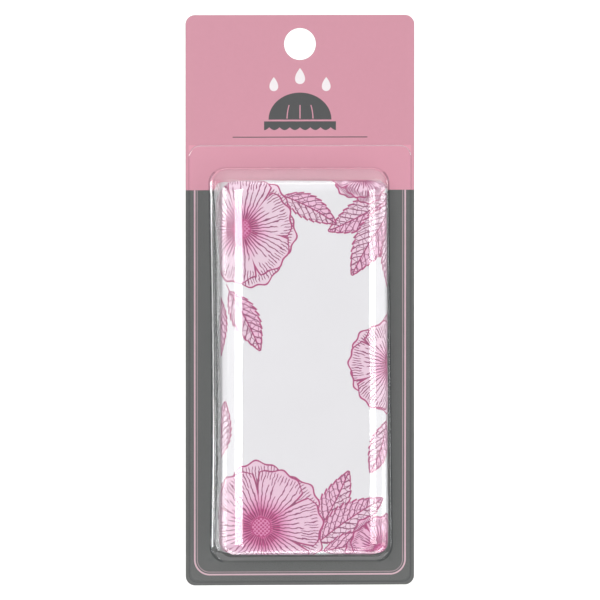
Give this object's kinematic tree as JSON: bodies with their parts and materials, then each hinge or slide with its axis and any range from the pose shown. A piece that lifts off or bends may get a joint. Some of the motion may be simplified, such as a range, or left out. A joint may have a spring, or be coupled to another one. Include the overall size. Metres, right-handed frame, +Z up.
{
  "type": "carded shower cap",
  "caption": "Folded elasticated shower cap in a clear formed blister on a rounded hang card; the blister swings open from its top edge and the cap lifts off the card.",
  "frame": {"origin": "centre of the card's hang hole, on the card's back face", "axes": "+Z up along the card towards its top edge, +X to the right seen from the front, +Y out of the card's back; the blister faces -Y"},
  "size_m": [0.0918, 0.0231, 0.2282],
  "materials": {
    "card": "coated board, pink header over a dark grey panel with a thin pale line round it",
    "clear_film": "clear glossy formed film",
    "printed_ply": "smooth white with a magenta line print of blossoms and leaves",
    "lining_film": "soft translucent waterproof film",
    "hem_tape": "gathered turned hem",
    "elastic": "woven covered elastic",
    "thread": "twisted sewing thread"
  },
  "bodies": {
    "card": {"hang_card": "card"},
    "cap": {"cap_outer_ply": "printed_ply", "cap_lining": "lining_film", "hem_casing": "hem_tape", "hem_elastic": "elastic", "hem_stitching": "thread"},
    "blister": {"blister_shell": "clear_film"}
  },
  "joints": [
    {"name": "cap_lift", "type": "slide", "parent": "card", "child": "cap", "axis": [0, -1, 0], "range_m": [0, 0.06]},
    {"name": "blister_open", "type": "hinge", "parent": "cap", "child": "blister", "pos_m": [0, -0.0007, -0.0404], "axis": [-1, 0, 0], "range_deg": [0, 100]}
  ]
}
